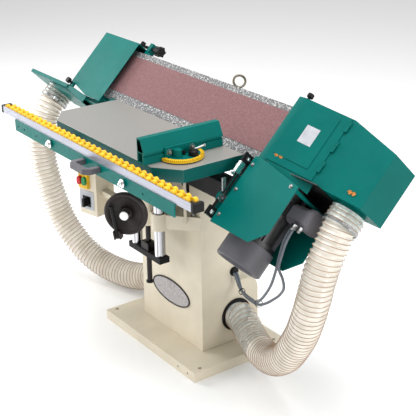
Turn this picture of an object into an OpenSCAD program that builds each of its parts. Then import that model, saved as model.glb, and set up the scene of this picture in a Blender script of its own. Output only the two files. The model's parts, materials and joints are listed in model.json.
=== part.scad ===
// Oscillating edge sander on a pedestal: tilting belt head, lifting table, roller rail.
// +X runs along the sanding belt, +Y to the back, +Z up. The origin is on the floor,
// at the centre of the four anchor holes.

/* [Base] */
// Length of the base plate along X
base_w = 574; // [560:1:620]
// Depth of the base plate along Y
base_d = 396; // [390:1:440]
// Height of the folded base
base_h = 37; // [30:1:40]
// Distance between anchor holes along X
anchor_x = 536; // [520:1:538]
// Distance between anchor holes along Y
anchor_y = 324; // [316:1:345]
// Radius of an anchor hole
anchor_r = 7; // [5:0.5:8]

/* [Pedestal] */
// Width of the pedestal
ped_w = 375; // [340:1:380]
// Height of the pedestal's front edge
ped_h = 671; // [650:1:671]
// Thickness of the pedestal's sheet
ped_wall = 4; // [3:0.5:6]
// Height of a hose flange's centre
port_z = 141; // [130:1:150]
// Distance of a hose flange's centre behind the anchor centre
port_y = 54; // [40:1:60]

/* [Table] */
// Height of the table's top face
table_z = 817; // [812:1:820]
// Length of the table
table_w = 750; // [700:1:752]
// Chamfer of the table's front corners along X
table_chamfer_x = 80; // [40:1:90]
// Chamfer of the table's front corners along Y
table_chamfer_y = 62; // [40:1:80]
// Depth of the green rim below the top face
table_rim = 43; // [35:1:45]
// Radius of a guide post
post_r = 19; // [15:0.5:20]
// Distance of each guide post from the lead screw
post_x = 72; // [60:1:78]

/* [Roller rail] */
// Length of the roller rail
rail_len = 1176; // [1100:1:1180]
// Distance between rollers in one row
roller_pitch = 33; // [30:1:40]
// Radius of a roller
roller_r = 12; // [10:0.5:12]

/* [Head] */
// Tilt of the sanding belt from vertical at rest
head_tilt = 45; // [45:1:45]
// Width of the sanding belt
belt_w = 152; // [150:1:152]
// Radius of the drive and idler drums
drum_r = 75; // [70:0.5:75]
// Thickness of the sanding belt
belt_t = 1.2; // [0.8:0.1:1.5]
// Distance of the drive drum from the centre plane
drive_x = 532; // [525:1:535]
// Distance of the idler drum from the centre plane
idler_x = 600; // [595:1:600]

/* [Dust hoses and cables] */
// Outer radius of a dust hose
hose_r = 54; // [50:1:54]
// Radius of a motor cable
cable_r = 4.5; // [4:0.5:4.5]

/* [Hidden] */
$fn = 64;
eps = 0.01;
gap = 0.3;
fit = 0.05;

// pivot line of the head, and the front plane of the table and the rail
pivot_y = -55;
pivot_z = 793;
pin_r = 8;
ear_r = 16;
ped_front = -91;
table_front = -347;
table_back = -57;
post_y = -180;
rail_front = -408;
rail_depth = 36;
rail_low = 783;
rail_top = 809;
rail_slide_x = 250;
rail_slide_z = 758;
wheel_z = 616;
wheel_turn = 40;
hub_out = 200;
wheel_r = 72;
crank_turn = -80;
crank_side = -38;
crank_hinge = 70;
crank_out = 40;
box_turn = 14;
screw_r = 9;
bracket_low = 497;
bracket_top = 547;

// head frame of reference: y behind the belt face, z up along the belt's width
belt_low = 50;
belt_high = belt_low + belt_w;
drum_y = belt_t + gap + drum_r;
drum_low = belt_low - 3;
drum_high = belt_high + 3;
platen_low = 20;
platen_high = 224;
cover_b = 31;
plate_left = 402;
plate_t = 14;
house_x0 = 443;
house_x1 = 475;
house_x2 = 834;
house_y1 = -26;
house_y2 = 57;
house_back = 176;
house_low = 24;
house_high = 254;
door_x = 658;
slope = (house_y2 - house_y1) / (house_x2 - house_x1);
guard_front = 27;
guard_back = 163;
hinge_y = -4.5;
hinge_r = 3.2;
hinge_pin_r = 1.5;
hinge_spans = [[62, 84], [134, 156], [206, 228]];
port_right = [758, 111];
port_left = [-845, 50];
neck_r = 49;
end_table_top = -8;

// lobed knobs and their stems
lobe_r = 20;

// dust hose and cable routes, from the head down to the pedestal
right_route = [[758, 18.5, 709.5], [758, 1.5, 692.5], [755, -18, 658], [750, -42, 604],
    [739, -58, 538], [727, -66, 465], [704, -66, 390], [664, -58, 305], [596, -42, 208],
    [548, -31, 161], [494, -18, 124], [435, -3, 104], [377, 11, 100], [320, 29, 104],
    [273, 43, 116], [240, 51, 131], [212, 54, 141], [195, 54, 141]];
left_route = [[-845, -64.5, 712.8], [-845, -81.5, 695.8], [-845, -105, 665], [-846, -125, 615],
    [-845, -137, 555], [-838, -141, 488], [-818, -138, 410], [-790, -130, 325],
    [-757, -115, 243], [-710, -95, 174], [-650, -70, 115], [-575, -40, 76], [-483, -10, 63],
    [-420, 8, 67], [-370, 23, 78], [-320, 36, 94], [-272, 48, 117], [-240, 53, 135],
    [-212, 54, 141], [-195, 54, 141]];
power_route = [[640, -88, 663], [640, -100, 651], [637, -113, 625], [626, -117, 580],
    [605, -112, 524], [558, -92, 448], [483, -58, 368], [398, -18, 298], [345, 2, 280],
    [290, 20, 268], [250, 30, 267], [222, 38, 278], [206, 40, 298], [196, 40, 308]];
brake_route = [[650, -88, 663], [650, -100, 651], [647, -113, 625], [637, -119, 582],
    [622, -116, 538], [628, -105, 500], [614, -88, 458], [576, -71, 415], [521, -48, 370],
    [449, -22, 316], [385, -4, 279], [320, 14, 263], [262, 32, 256], [228, 46, 262],
    [208, 52, 290], [196, 52, 308]];

// ---- helpers ----

// a box between two corners
module block(low, high) {
    translate(low) cube([high[0] - low[0], high[1] - low[1], high[2] - low[2]]);
}

// cylinders along X, Y or Z between two coordinates
module rod_x(x0, x1, y, z, r) {
    translate([x0, y, z]) rotate([0, 90, 0]) cylinder(h = x1 - x0, r = r);
}
module rod_y(y0, y1, x, z, r) {
    translate([x, y1, z]) rotate([90, 0, 0]) cylinder(h = y1 - y0, r = r);
}
module rod_z(z0, z1, x, y, r) {
    translate([x, y, z0]) cylinder(h = z1 - z0, r = r);
}

// an outline in Y and Z, extruded along X
module side_plate(x0, x1, points) {
    translate([x0, 0, 0]) rotate([90, 0, 90]) linear_extrude(x1 - x0) polygon(points);
}

// an outline in X and Z, extruded along Y
module front_plate(y0, y1, points) {
    translate([0, y1, 0]) rotate([90, 0, 0]) linear_extrude(y1 - y0) polygon(points);
}

// an outline in X and Y, extruded along Z
module floor_plate(z0, z1, points) {
    translate([0, 0, z0]) linear_extrude(z1 - z0) polygon(points);
}

// places parts drawn upright in the head's own frame
module on_head() {
    translate([0, pivot_y, pivot_z]) rotate([-head_tilt, 0, 0]) children();
}

// hexagon bolt head with a washer, standing on z = 0
module bolt_head(r) {
    cylinder(h = 1.6, r = r * 1.35);
    translate([0, 0, 1.6]) cylinder(h = r * 0.8, r = r, $fn = 6);
}

// lobed hand knob standing on z = 0
module lobed_knob(r, h, lobes) {
    cylinder(h = h, r = r * 0.82);
    for (i = [0 : lobes - 1])
        rotate([0, 0, i * 360 / lobes]) translate([r * 0.8, 0, 0])
            cylinder(h = h, r = r * 0.22);
}

// ring of points around a route point, square to its direction
function unit(v) = v / norm(v);
function direction(route, i) =
    unit(route[min(i + 1, len(route) - 1)] - route[max(i - 1, 0)]);
function side_of(d) = unit(cross(d, [0.1, 1, 0.05]));
function ring(p, d, r, sides) = let (u = side_of(d), v = cross(d, u))
    [for (k = [0 : sides - 1]) p + r * (cos(k * 360 / sides) * u + sin(k * 360 / sides) * v)];

// closed tube swept along a route
module tube(route, r, sides) {
    n = len(route);
    points = [for (i = [0 : n - 1]) each ring(route[i], direction(route, i), r, sides)];
    walls = [for (i = [0 : n - 2]) for (k = [0 : sides - 1]) let (m = (k + 1) % sides)
        [i * sides + k, i * sides + m, (i + 1) * sides + m, (i + 1) * sides + k]];
    first = [for (k = [0 : sides - 1]) sides - 1 - k];
    last = [for (k = [0 : sides - 1]) (n - 1) * sides + k];
    polyhedron(points, concat([first], walls, [last]), convexity = 6);
}

// ---- stand ----

module base_plate() {
    wall = 4;
    color([0.83, 0.78, 0.68]) difference() {
        union() {
            difference() {
                block([-base_w / 2, -base_d / 2, 0], [base_w / 2, base_d / 2, base_h]);
                block([wall - base_w / 2, wall - base_d / 2, -1],
                    [base_w / 2 - wall, base_d / 2 - wall, base_h - 6]);
            }
            for (x = [-1, 1], y = [-1, 1])
                rod_z(0, base_h - 1, x * anchor_x / 2, y * anchor_y / 2, 13);
        }
        for (x = [-1, 1], y = [-1, 1])
            rod_z(-1, base_h + 1, x * anchor_x / 2, y * anchor_y / 2, anchor_r);
        for (x = [188, 245]) rod_y(-base_d / 2 - 1, wall - base_d / 2 + 1, x, base_h / 2, 4);
    }
}

// side outline of the pedestal, drawn t inside the outer faces
function pedestal_side(t) = concat(
    [[ped_front + t, base_h - (t > 0 ? 1 : 0)], [ped_front + t, ped_h - t],
        [-66 - t / 2, ped_h - t], [-20 - t / 2, 612 - t], [75 - t, 560 - t],
        [75 - t, 268 - t]],
    [for (a = [90 : -15 : 0]) [104 + (50 - t) * cos(a), 218 + (50 - t) * sin(a)]],
    [[154 - t, base_h - (t > 0 ? 1 : 0)]]);

module pedestal() {
    color([0.88, 0.83, 0.72]) difference() {
        side_plate(-ped_w / 2, ped_w / 2, pedestal_side(0));
        side_plate(ped_wall - ped_w / 2, ped_w / 2 - ped_wall, pedestal_side(ped_wall));
        rod_x(-ped_w / 2 - 1, ped_w / 2 + 1, port_y, port_z, neck_r + 1);
        rod_x(ped_w / 2 - 10, ped_w / 2 + 1, 46, 311, 13);
        rod_y(140, 160, 0, port_z, 64);
        block([-120, 60, 300], [120, 90, 520]);
    }
}

module rear_cover() {
    color([0.85, 0.8, 0.69]) block([-135, 75, 285], [135, 77.5, 535]);
}

module badge() {
    color([0.55, 0.55, 0.53]) translate([0, ped_front, 200]) rotate([90, 0, 0])
        linear_extrude(3) polygon([for (a = [0 : 7.5 : 352.5]) [115 * cos(a), 47 * sin(a)]]);
}

module dust_manifold() {
    color([0.3, 0.3, 0.31]) difference() {
        union() {
            rod_x(-ped_w / 2 + ped_wall, ped_w / 2 - ped_wall, port_y, port_z, 52);
            rod_y(port_y, 156, 0, port_z, 60);
            rod_y(156, 216, 0, port_z, 62.5);
        }
        rod_x(-ped_w / 2 - 1, ped_w / 2 + 1, port_y, port_z, 49);
        rod_y(port_y, 217, 0, port_z, 57.5);
    }
}

module hose_flanges() {
    color([0.08, 0.08, 0.08]) for (s = [-1, 1]) difference() {
        rod_x(min(s * ped_w / 2, s * (ped_w / 2 + 7)), max(s * ped_w / 2, s * (ped_w / 2 + 7)),
            port_y, port_z, 61);
        rod_x(min(s * 180, s * 213), max(s * 180, s * 213), port_y, port_z, neck_r - 3);
    }
}

module cable_grommet() {
    color([0.05, 0.05, 0.05]) {
        rod_x(ped_w / 2, 193, 46, 311, 17);
        rod_x(ped_w / 2 - ped_wall, 196, 46, 311, 13);
    }
}

// beam on the pedestal's top, with an upright at each end that carries a pivot pin
module trunnion_beam() {
    beam_back = -66;
    beam_front = -128;
    beam_low = ped_h;
    beam_high = ped_h + 62;
    color([0.1, 0.1, 0.1]) {
        difference() {
            block([-400, beam_front, beam_low], [400, beam_back, beam_high]);
            block([-396, beam_front + 5, beam_low + 5], [396, beam_back - 5, beam_high - 5]);
        }
        for (x = [-392, 392]) translate([x, 0, 0]) {
            difference() {
                side_plate(-8, 8, [[-118, beam_high], [-66, beam_high],
                    [pivot_y + ear_r - 1, pivot_z - 6], [pivot_y, pivot_z],
                    [pivot_y - ear_r + 2, pivot_z + 6]]);
                rod_x(-9, 9, pivot_y, pivot_z, ear_r - 1);
            }
            rod_x(-8, 8, pivot_y, pivot_z, ear_r);
        }
        for (s = [-1, 1])
            rod_x(min(s * 384, s * 418), max(s * 384, s * 418), pivot_y, pivot_z, pin_r);
        for (x = [-120, 120]) side_plate(x - 4, x + 4,
            [[beam_front, beam_low], [ped_front, beam_low], [ped_front, beam_low - 60]]);
    }
}

// control box and its panel, turned a little towards the operator
module on_box() {
    translate([-333, -185, 0]) rotate([0, 0, box_turn]) children();
}

module control_box() {
    color([0.86, 0.81, 0.7]) {
        on_box() difference() {
            block([-44, -45, 424], [44, 45, 602]);
            block([-41, -42, 427], [41, 42, 599]);
        }
        block([-296, -190, 500], [-ped_w / 2, -160, 520]);
        block([-197, -160, 500], [-ped_w / 2, -50, 520]);
    }
    color([0.85, 0.85, 0.84]) on_box() block([-42, -47, 446], [30, -45, 518]);
}

// upright oval button of a push switch, t larger all round
module oval(y0, y1, x, t) {
    for (z = [554, 568]) rod_y(y0, y1, x, z, 9 + t);
    block([x - 9 - t, y0, 554], [x + 9 + t, y1, 568]);
}

module switch_body() {
    color([0.9, 0.72, 0.1]) on_box() difference() {
        block([-32, -59, 530], [13, -45, 592]);
        oval(-60, -51, -20.5, gap);
        oval(-60, -51, 1.5, gap);
    }
}

module start_button() {
    color([0.1, 0.6, 0.3]) on_box() oval(-68, -53, 1.5, 0);
}

module stop_button() {
    color([0.75, 0.08, 0.08]) on_box() oval(-71, -53, -20.5, 0);
}

module selector_knob() {
    color([0.06, 0.06, 0.06]) on_box() {
        rod_y(-54, -47.3, -6, 476, 16);
        block([-11, -68, 460], [-1, -54, 492]);
    }
}

// casting that guides the posts and holds the bevel gears
// casting that guides the posts, with a turret for the bevel gears on top
module lift_bracket() {
    color([0.8, 0.74, 0.62]) difference() {
        union() {
            floor_plate(bracket_low, bracket_top, [[-ped_w / 2, ped_front], [ped_w / 2, ped_front],
                [post_x + 26, post_y + 10], [post_x + 10, post_y - 14],
                [-post_x - 10, post_y - 14], [-post_x - 26, post_y + 10]]);
            for (s = [-1, 1]) rod_z(bracket_low - 6, bracket_top + 4, s * post_x, post_y, 26);
            rod_z(bracket_low - 3, 652, 0, post_y, 38);
            at_wheel(20) cylinder(h = 44, r = 20);
        }
        for (s = [-1, 1])
            rod_z(bracket_low - 7, bracket_top + 5, s * post_x, post_y, post_r + fit);
        rod_z(590, 644, 0, post_y, 31);
        rod_z(bracket_low - 4, 591, 0, post_y, screw_r + fit);
        at_wheel(15) cylinder(h = 50, r = 8 + fit);
    }
}

module stand_fasteners() {
    color([0.7, 0.7, 0.7]) {
        for (x = [-120, 120], z = [300, 520])
            translate([x, 77.5, z]) rotate([-90, 0, 0]) bolt_head(5);
        for (s = [-1, 1]) translate([s * 158, ped_front - 9, bracket_top]) bolt_head(6);
        translate([-197, -70, 510]) rotate([0, -90, 0]) bolt_head(5);
    }
}

// ---- handwheel and lead screw ----

// places parts on the handwheel's axis, out from the lead screw
module at_wheel(out) {
    translate([0, post_y, wheel_z]) rotate([0, 0, wheel_turn]) rotate([90, 0, 0])
        translate([0, 0, out]) children();
}

// places parts on the crank's hinge, with X along the folded crank
module at_crank() {
    at_wheel(hub_out) rotate([0, 0, crank_turn]) translate([crank_hinge, crank_side, crank_out])
        children();
}

module handwheel() {
    r = wheel_r;
    color([0.14, 0.12, 0.11]) {
        at_wheel(hub_out) rotate_extrude() polygon([[8, 0], [16, 0], [16, 6], [r - 16, 18],
            [r - 12, 14], [r - 5, 14], [r, 18], [r, 28], [r - 5, 32], [r - 13, 30], [r - 19, 26],
            [20, 12], [18, 22], [8, 22]]);
        // two lugs and the pin of the folding crank
        for (s = [-1, 1]) at_crank() block([-20, s * 9.5 - 2.5, -18], [8, s * 9.5 + 2.5, 7]);
        at_crank() rod_y(-8, 8, 0, 0, 3);
    }
}

module handwheel_shaft() {
    color([0.75, 0.75, 0.76]) {
        at_wheel(12) cylinder(h = 222, r = 8);
        at_wheel(hub_out + 22.3) cylinder(h = 23, r = 14);
        at_wheel(10) bevel_gear();
        at_wheel(64.3) cylinder(h = 10, r = 13);
    }
}

// bevel gear whose cone's tip is 10 below its small face
module bevel_gear() {
    difference() {
        cylinder(h = 8, r1 = 10 - gap, r2 = 18 - gap);
        for (i = [0 : 11]) rotate([0, 0, i * 30]) translate([14, -1, 5]) cube([6, 2, 4]);
    }
}

// crank that folds flat across the wheel, around the pin between its two lugs
module crank_handle() {
    color([0.1, 0.09, 0.09]) at_crank() difference() {
        union() {
            rod_y(-6.5, 6.5, 0, 0, 7.5);
            rod_x(-104, -2, 0, 0, 6.2);
        }
        rod_y(-8, 8, 0, 0, 3 + fit);
    }
}

module lead_screw() {
    color([0.13, 0.13, 0.13]) {
        rod_z(270, wheel_z - 12, 0, post_y, screw_r);
        rod_z(264, 270, 0, post_y, 13);
        rod_z(bracket_low - 9, bracket_low - 3.3, 0, post_y, 14);
        translate([0, post_y, wheel_z - 10]) rotate([180, 0, 0]) bevel_gear();
    }
}

// ---- table ----

function table_outline(t) = [[-table_w / 2 + t, table_back],
    [-table_w / 2 + t, table_front + table_chamfer_y + t / 2],
    [-table_w / 2 + table_chamfer_x + t / 2, table_front + t],
    [table_w / 2 - table_chamfer_x - t / 2, table_front + t],
    [table_w / 2 - t, table_front + table_chamfer_y + t / 2], [table_w / 2 - t, table_back]];

module table_top() {
    plate = 12;
    color([0.62, 0.62, 0.6]) {
        difference() {
            floor_plate(table_z - table_rim, table_z, table_outline(0));
            floor_plate(table_z - table_rim - 1, table_z - plate, concat(
                [[-table_w / 2 + 10, table_back + 1]],
                [for (i = [1 : 4]) table_outline(10)[i]], [[table_w / 2 - 10, table_back + 1]]));
        }
        for (x = [-180, 180]) block([x - 4, table_front + 10, table_z - 30],
            [x + 4, table_back - 4, table_z - plate + eps]);
        block([-365, -205, table_z - 30], [365, -197, table_z - plate + eps]);
        for (s = [-1, 1])
            rod_z(table_z - table_rim, table_z - plate + eps, s * post_x, post_y, 30);
    }
}

module guide_posts() {
    color([0.85, 0.86, 0.88]) for (s = [-1, 1])
        rod_z(393, table_z - table_rim, s * post_x, post_y, post_r);
}

module lift_crossbar() {
    color([0.08, 0.08, 0.08]) {
        difference() {
            block([-98, post_y - 20, 372], [98, post_y + 20, 393]);
            rod_z(370, 400, 0, post_y, screw_r + 1);
        }
        for (x = [-post_x, post_x]) translate([x, post_y, 372]) rotate([180, 0, 0]) bolt_head(7);
    }
}

module lead_nut() {
    color([0.06, 0.06, 0.06]) difference() {
        block([-22, post_y - 17, 393], [22, post_y + 17, 421]);
        rod_z(390, 430, 0, post_y, screw_r + gap);
    }
}

module rail_guides() {
    color([0.1, 0.25, 0.22]) for (s = [-1, 1]) difference() {
        block([s * rail_slide_x - 16, -330, rail_slide_z - 14],
            [s * rail_slide_x + 16, -240, table_z - 12]);
        rod_y(-331, -239, s * rail_slide_x, rail_slide_z, 8 + fit);
    }
}

module rail_lock_knob() {
    color([0.06, 0.06, 0.06]) {
        translate([rail_slide_x, -285, rail_slide_z - 42]) lobed_knob(17, 16, 6);
        rod_z(rail_slide_z - 42, rail_slide_z - 14.3, rail_slide_x, -285, 5);
    }
}

module height_rod() {
    color([0.8, 0.74, 0.62]) {
        block([148, -132, 529], [160, -128, table_z - 12]);
        rod_y(-132, -128, 154, 529, 6);
    }
}

// ---- mitre gauge ----

gauge_x = 275;
gauge_y = -224;
gauge_r = 72;

module gauge_base() {
    color([0.3, 0.3, 0.3]) {
        rod_z(table_z, table_z + 2, gauge_x + 16, gauge_y, 13);
        rod_z(table_z + 2, table_z + 24, gauge_x + 16, gauge_y, 6);
    }
}

module gauge_head() {
    low = table_z + 2.3;
    color([0.0, 0.27, 0.24]) difference() {
        union() {
            intersection() {
                rod_z(low, low + 10, gauge_x, gauge_y, gauge_r);
                block([gauge_x, gauge_y - gauge_r, low - 1],
                    [gauge_x + gauge_r, gauge_y + gauge_r, low + 11]);
            }
            block([gauge_x, gauge_y - 62, low + 10], [gauge_x + 9, gauge_y + 50, low + 42]);
            rod_z(low + 10, low + 34, gauge_x + 24, gauge_y - 26, 12);
            block([gauge_x + 8, gauge_y - 38, low + 10], [gauge_x + 24, gauge_y - 14, low + 34]);
        }
        rod_z(low - 1, low + 23, gauge_x + 16, gauge_y, 6 + fit);
    }
    color([0.8, 0.8, 0.8]) for (y = [gauge_y - 48, gauge_y + 36])
        translate([gauge_x + 9, y, low + 26]) rotate([0, 90, 0]) bolt_head(6);
}

// extruded fence: upright back, sloping front with a T-slot
module gauge_fence() {
    low = table_z + gap;
    top = table_z + 80;
    color([0.0, 0.29, 0.26]) difference() {
        front_plate(-358, -62, [[236, low], [275, low], [275, low + 24], [270, low + 24],
            [270, low + 31], [275, low + 31], [275, low + 40], [256, top], [236, top]]);
        front_plate(-359, -61, [[241, low + 5], [264, low + 5], [264, low + 34], [241, low + 34]]);
        front_plate(-359, -61, [[241, low + 39], [269, low + 39], [254, top - 5], [241, top - 5]]);
    }
}

module gauge_lever() {
    low = table_z + 12.6;
    color([0.1, 0.09, 0.09]) translate([gauge_x + 40, gauge_y + 20, low]) {
        cylinder(h = 16, r = 16);
        cylinder(h = 22, r = 11);
        translate([0, 0, 18]) rotate([-76, 0, -12]) cylinder(h = 38, r = 3);
    }
}

// ---- roller rail ----

roller_row = [for (x = [-rail_len / 2 + 20 : roller_pitch : rail_len / 2 - 20]) x];
row_offset = [0, roller_pitch / 2];
function in_rail(x) = x < rail_len / 2 - 16;

module rail_channel() {
    back = rail_front + rail_depth;
    color([0.8, 0.81, 0.83]) {
        difference() {
            block([-rail_len / 2, rail_front, rail_low], [rail_len / 2, back, rail_top]);
            block([-rail_len / 2 - 1, rail_front + 3, rail_low + 3],
                [rail_len / 2 + 1, back - 3, rail_top + 1]);
        }
        block([-rail_len / 2, rail_front + 17, rail_low + 3 - eps],
            [rail_len / 2, rail_front + 19, rail_top - 2]);
    }
    color([0.6, 0.6, 0.6]) for (row = [0, 1], x = roller_row)
        if (in_rail(x + row_offset[row]))
            rod_y(rail_front + 3 + row * 16 - eps, rail_front + 17 + row * 16 + eps,
                x + row_offset[row], table_z - roller_r, 3);
}

module rail_rollers() {
    color([0.88, 0.7, 0.1]) for (row = [0, 1], x = roller_row)
        if (in_rail(x + row_offset[row])) difference() {
            rod_y(rail_front + 3.5 + row * 16, rail_front + 16.5 + row * 16, x + row_offset[row],
                table_z - roller_r, roller_r, $fn = 40);
            rod_y(rail_front + 3 + row * 16, rail_front + 17 + row * 16, x + row_offset[row],
                table_z - roller_r, 3.05);
        }
}

module rail_end_caps() {
    color([0.08, 0.08, 0.08]) for (s = [-1, 1])
        block([min(s * rail_len / 2, s * (rail_len / 2 + 14)), rail_front - 1, rail_low - 2],
            [max(s * rail_len / 2, s * (rail_len / 2 + 14)), rail_front + rail_depth + 1,
                rail_top + 1]);
}

module rail_flange() {
    color([0.35, 0.62, 0.57]) {
        difference() {
            block([-490, rail_front - 4, 742], [512, rail_front, rail_low]);
            for (x = [-466, -420, -331, 347])
                rod_y(rail_front - 5, rail_front + 1, x, 762, 4);
        }
        block([-490, rail_front, rail_low - 4], [512, rail_front + rail_depth, rail_low]);
    }
    color([0.75, 0.75, 0.75]) for (x = [-225, 239])
        translate([x, rail_front - 4, 764]) rotate([90, 0, 0]) bolt_head(8);
}

module pull_handle() {
    out = rail_front - 62;
    base = rail_front - 4;
    color([0.25, 0.25, 0.26]) floor_plate(757, 777, [[-8, base], [-8, out + 18], [10, out],
        [88, out], [106, out + 18], [106, base], [86, base], [86, out + 26], [80, out + 20],
        [18, out + 20], [12, out + 26], [12, base]]);
}

module rail_slide_bars() {
    color([0.75, 0.76, 0.78]) for (s = [-1, 1]) {
        rod_y(rail_front, -140, s * rail_slide_x, rail_slide_z, 8);
        rod_y(-140, -134, s * rail_slide_x, rail_slide_z, 11);
    }
}

// ---- head, drawn upright in its own frame ----

module head_frame() {
    frame_back = 130;
    color([0.0, 0.34, 0.31]) on_head() {
        block([-plate_left, 16.5, platen_low], [plate_left, 118, platen_low + 10]);
        block([-plate_left, 16.5, platen_high - 10], [plate_left, 118, platen_high]);
        block([-plate_left, 118, platen_low], [plate_left, frame_back, platen_high]);
        for (x = [-plate_left - plate_t, plate_left]) translate([x, 0, 0]) difference() {
            union() {
                side_plate(0, plate_t, [[16.5, platen_high], [16.5, 19.5], [0, ear_r], [-4, 0],
                    [ear_r * 0.7, -ear_r * 0.7], [60, 14], [frame_back, 40],
                    [frame_back, platen_high]]);
                rod_x(0, plate_t, 0, 0, ear_r);
            }
            rod_x(-1, plate_t + 1, 0, 0, pin_r + fit);
            if (x < 0) block([-1, 62, 88], [plate_t + 1, 91, 164]);
        }
        // arm with the tilt lock, beside the motor guards
        block([plate_left, -26, -175], [plate_left + plate_t, -10, -12]);
        block([plate_left, -24, -24], [plate_left + plate_t, 4, -14.5]);
        block([plate_left - 8, -34, -208], [plate_left + plate_t, -4, -175]);
        rod_x(plate_left, plate_left + plate_t, -20, -139, 20);
        // tension bracket on the left end
        block([-436, 2, platen_high], [-402, 40, platen_high + 8]);
        difference() {
            block([-436, 2, platen_high + 8], [-418, 30, 272]);
            rod_x(-440, -410, 12, 254, 6 + fit);
        }
        // wing that carries the end table and the idler cover
        block([-540, 20, 4], [-plate_left - plate_t, 140, 16]);
        block([-540, 20, end_table_top], [-520, 140, 4]);
        // shelf that carries the drive housing and the motor
        block([plate_left + plate_t, 20, 14], [455, 130, house_low]);
    }
}

module platen() {
    color([0.45, 0.45, 0.46]) on_head()
        block([-500, 4.5, platen_low], [442, 16.5, platen_high]);
}

module platen_cloth() {
    color([0.42, 0.42, 0.43]) on_head()
        block([-500, 1.5, platen_low], [442, 4.5, platen_high]);
}

// outline of the belt loop, t inside its outer face
module loop_outline(t) {
    r = drum_r + gap + belt_t - t;
    translate([-idler_x, drum_y]) circle(r = r, $fn = 120);
    translate([drive_x, drum_y]) circle(r = r, $fn = 120);
    translate([-idler_x, drum_y - r]) square([idler_x + drive_x, 2 * r]);
}

module sanding_belt() {
    color([0.5, 0.36, 0.36]) on_head() translate([0, 0, belt_low])
        linear_extrude(belt_w) difference() {
            loop_outline(0);
            loop_outline(belt_t);
        }
}

module drive_drum() {
    color([0.6, 0.61, 0.62]) on_head() {
        difference() {
            rod_z(drum_low, drum_high, drive_x, drum_y, drum_r, $fn = 120);
            rod_z(drum_low - 1, drum_high - 20, drive_x, drum_y, drum_r - 10);
        }
        rod_z(-34, drum_high, drive_x, drum_y, 12);
    }
}

module idler_drum() {
    color([0.6, 0.61, 0.62]) on_head() difference() {
        rod_z(drum_low, drum_high, -idler_x, drum_y, drum_r, $fn = 120);
        rod_z(drum_low - 1, drum_high + 1, -idler_x, drum_y, 12 + fit);
    }
}

module idler_carriage() {
    color([0.3, 0.32, 0.33]) on_head() {
        for (z = [drum_low - 11, drum_high + 5])
            block([-idler_x - 22, drum_y - 20, z], [-484, drum_y + 20, z + 6]);
        block([-516, drum_y - 20, drum_low - 5], [-484, drum_y + 20, drum_high + 5]);
        block([-484, drum_y - 11, 100], [-360, drum_y + 12, 152]);
        rod_z(drum_low - 5, drum_high + 5, -idler_x, drum_y, 12);
    }
}

module tension_knob() {
    color([0.06, 0.06, 0.06]) on_head() {
        rod_x(-470, -386, 12, 254, 6);
        translate([-386, 12, 254]) rotate([0, 90, 0]) lobed_knob(lobe_r, 26, 6);
    }
}

module tracking_knob() {
    color([0.06, 0.06, 0.06]) on_head() {
        rod_z(246, 262, -462, -8, 9);
        rod_z(243.3, 246, -462, -8, 4);
    }
}

// sheet box around the idler drum, open to the right
module idler_cover() {
    t = 2;
    left = -685;
    right = -449;
    top = 243;
    back = 172;
    face = [[left, top], [right, top], [right, -20], [-552, -20], [left, 11]];
    color([0.0, 0.5, 0.48]) on_head() {
        front_plate(-cover_b, -cover_b + t, face);
        block([left, -cover_b + t, 11], [left + t, back, top]);
        block([left + t, -cover_b + t, top - t], [right, back, top]);
        block([left + t, back - t, 16], [right, back, top - t]);
    }
}

// plate beside the idler for contour work, with the left dust hood below it
module end_table() {
    x0 = -985;
    x1 = -688;
    low = end_table_top - 14;
    color([0.0, 0.42, 0.39]) on_head() {
        difference() {
            union() {
                block([x0, -33, low], [x1, 140, end_table_top]);
                block([x1, 20, low], [-520, 140, end_table_top]);
                block([x1, -29, end_table_top], [x1 + 24, -20, 11]);
                rod_z(low - 40, low, port_left[0], port_left[1], neck_r);
                block([port_left[0] + 45, port_left[1] - 62, low - 16],
                    [x1 + 60, port_left[1] + 62, low]);
            }
            rod_z(low - 41, low - 4, port_left[0], port_left[1], neck_r - 3);
            block([port_left[0], port_left[1] - 30, low - 13],
                [x1, port_left[1] + 30, low]);
            block([port_left[0] + 48, port_left[1] - 59, low - 13],
                [x1 + 61, port_left[1] + 59, low]);
        }
        front_plate(-29, -26, [[x1, end_table_top], [x1, low], [-560, low - 26], [-540, low - 26],
            [-540, -21], [-552, -21]]);
    }
}

// outline of the housing in X and Y, t inside the outer faces
function house_outline(t) = [[house_x0 + t, -22 + t], [house_x1 + t / 4, house_y1 + t],
    [house_x2 - t, house_y2 + t], [house_x2 - t, house_back - t], [house_x0 + t, house_back - t]];

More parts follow.
